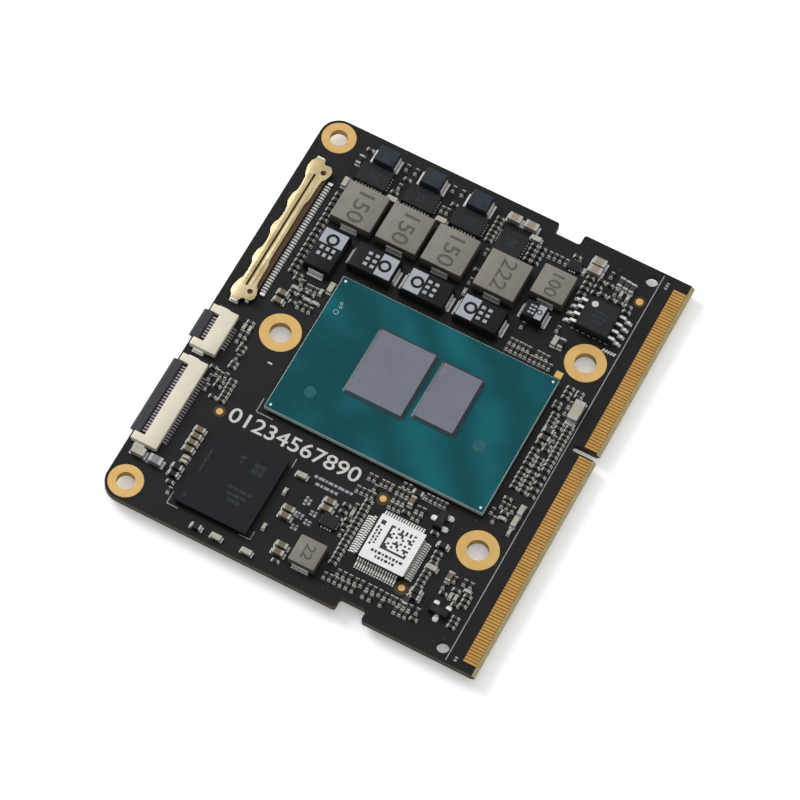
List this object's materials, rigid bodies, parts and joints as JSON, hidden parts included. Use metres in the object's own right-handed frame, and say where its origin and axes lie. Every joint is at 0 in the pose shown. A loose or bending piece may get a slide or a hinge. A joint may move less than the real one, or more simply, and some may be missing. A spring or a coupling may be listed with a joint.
{
  "type": "system on module",
  "caption": "Black computer board with a gold contact edge, bare processor dies on a green package, power inductors, storage, and cable connectors with flip locks.",
  "frame": {"origin": "under the middle of the board's outline, level with the undersides of the memory packages that it rests on", "axes": "+X towards the contact edge, +Y along the contact edge, +Z out of the processor side"},
  "size_m": [0.0603, 0.0696, 0.0044],
  "materials": {
    "board": "black solder mask over fibreglass, slightly glossy",
    "substrate": "teal-green resist, semi-gloss",
    "silicon": "bare silicon, ground smooth",
    "pressed_powder": "warm grey, matte",
    "black_moulding": "black epoxy, fine matte",
    "blue_black_moulding": "dark steel blue, matte",
    "chip_ceramic": "tan fired ceramic with tinned ends",
    "label_paper": "white, smooth",
    "cream_moulding": "cream, matte",
    "lever_moulding": "charcoal, matte",
    "brown_moulding": "dark tan, matte",
    "gilt_shell": "plated, satin"
  },
  "bodies": {
    "module": {"pcb": "board", "cpu_substrate": "substrate", "cpu_die": "silicon", "chipset_die": "silicon", "power_inductor_1": "pressed_powder", "power_inductor_2": "pressed_powder", "power_inductor_3": "pressed_powder", "power_inductor_4": "pressed_powder", "input_inductor": "pressed_powder", "standby_inductor": "pressed_powder", "output_capacitor_1": "black_moulding", "output_capacitor_2": "black_moulding", "output_capacitor_3": "black_moulding", "output_capacitor_4": "black_moulding", "standby_capacitor": "black_moulding", "input_capacitor_1": "blue_black_moulding", "input_capacitor_2": "blue_black_moulding", "input_capacitor_3": "blue_black_moulding", "power_stage_1": "black_moulding", "power_stage_2": "black_moulding", "power_stage_3": "black_moulding", "power_controller": "black_moulding", "load_switch": "black_moulding", "regulator_chip": "black_moulding", "storage_package": "black_moulding", "memory_package_1": "black_moulding", "memory_package_2": "black_moulding", "memory_package_3": "black_moulding", "memory_package_4": "black_moulding", "flash_chip": "black_moulding", "controller_chip": "black_moulding", "controller_label": "label_paper", "transistor_1": "black_moulding", "transistor_2": "black_moulding", "ceramic_capacitor_1": "chip_ceramic", "ceramic_capacitor_2": "chip_ceramic", "ceramic_capacitor_3": "chip_ceramic", "ceramic_capacitor_4": "chip_ceramic", "ceramic_capacitor_5": "chip_ceramic", "ceramic_capacitor_6": "chip_ceramic", "ceramic_capacitor_7": "chip_ceramic", "ceramic_capacitor_8": "chip_ceramic", "ceramic_capacitor_9": "chip_ceramic", "ceramic_capacitor_10": "chip_ceramic", "ceramic_capacitor_11": "chip_ceramic", "ceramic_capacitor_12": "chip_ceramic", "ceramic_capacitor_13": "chip_ceramic", "display_socket_block": "brown_moulding", "display_socket_shell": "gilt_shell", "small_cable_housing": "cream_moulding", "large_cable_housing": "cream_moulding"},
    "small_cable_lock": {"small_cable_lever": "lever_moulding"},
    "large_cable_lock": {"large_cable_lever": "lever_moulding"}
  },
  "joints": [
    {"name": "small_cable_lock_hinge", "type": "hinge", "parent": "module", "child": "small_cable_lock", "pos_m": [-0.02895, -0.00525, 0.00305], "axis": [0, 1, 0], "range_deg": [0, 90]},
    {"name": "large_cable_lock_hinge", "type": "hinge", "parent": "module", "child": "large_cable_lock", "pos_m": [-0.02895, -0.0183, 0.00305], "axis": [0, 1, 0], "range_deg": [0, 90]}
  ]
}
